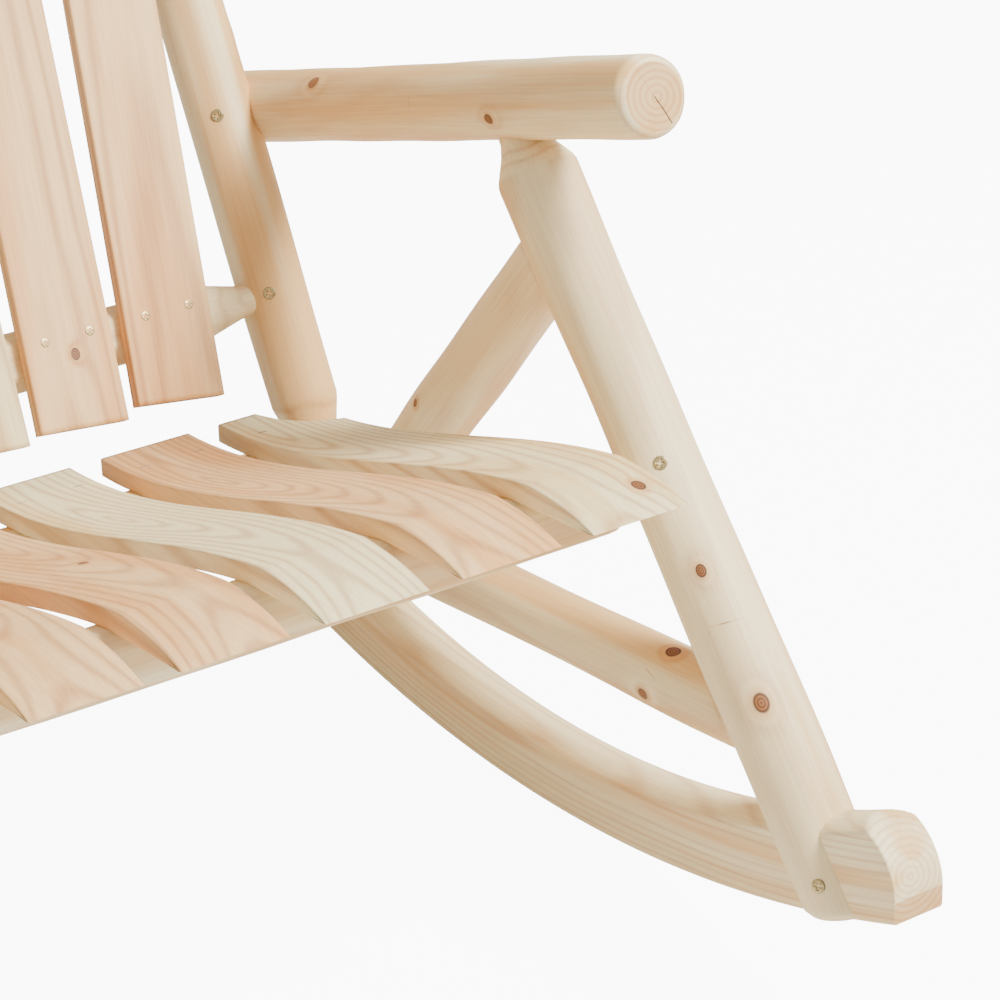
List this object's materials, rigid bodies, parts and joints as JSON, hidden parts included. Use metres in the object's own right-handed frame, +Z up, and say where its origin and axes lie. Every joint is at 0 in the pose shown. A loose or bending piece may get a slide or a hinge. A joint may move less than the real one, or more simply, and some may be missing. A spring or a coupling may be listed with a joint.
{
  "type": "rocking chair",
  "caption": "Two-seat rocking chair of debarked logs, with A-shaped side frames on curved rockers, a contoured board seat and a fanned board back.",
  "frame": {"origin": "on the floor, midway between the two rockers, where they touch it", "axes": "+Z up, the sitters face -Y, +X to the sitters' left"},
  "size_m": [1.073, 1.156, 0.8883],
  "materials": {
    "log_wood": "smooth debarked log, unvarnished",
    "pale_board": "planed pale board, unvarnished",
    "tan_board": "planed peach board, unvarnished",
    "screw_zinc": "yellow zinc plate",
    "staple_steel": "dull wire"
  },
  "bodies": {
    "root": {"rocker_left": "log_wood", "rocker_right": "log_wood", "front_leg_left": "log_wood", "front_leg_right": "log_wood", "rear_leg_left": "log_wood", "rear_leg_right": "log_wood", "side_stretcher_left": "log_wood", "side_stretcher_right": "log_wood", "armrest_left": "log_wood", "armrest_right": "log_wood", "back_post_left": "log_wood", "back_post_right": "log_wood", "front_seat_rail": "log_wood", "rear_seat_rail": "log_wood", "lower_back_rail": "log_wood", "upper_back_rail": "log_wood", "seat_slat_1": "pale_board", "seat_slat_2": "tan_board", "seat_slat_3": "pale_board", "seat_slat_4": "tan_board", "seat_slat_5": "tan_board", "seat_slat_6": "pale_board", "seat_slat_7": "tan_board", "seat_slat_8": "pale_board", "back_slat_1": "tan_board", "back_slat_2": "tan_board", "back_slat_3": "pale_board", "back_slat_4": "tan_board", "back_slat_5": "tan_board", "back_slat_6": "pale_board", "back_slat_7": "tan_board", "back_slat_8": "tan_board", "back_slat_screws_lower": "screw_zinc", "back_slat_screws_upper": "screw_zinc", "back_rail_screws": "screw_zinc", "arm_post_screws": "screw_zinc", "arm_leg_screws": "screw_zinc", "front_rail_screws": "screw_zinc", "rear_rail_screws": "screw_zinc", "post_foot_screws": "screw_zinc", "front_leg_rocker_screws": "screw_zinc", "rear_leg_rocker_screws": "screw_zinc", "rear_leg_top_screws": "screw_zinc", "stretcher_screws": "screw_zinc", "seat_slat_screws": "screw_zinc", "seat_slat_staples": "staple_steel"}
  },
  "joints": []
}
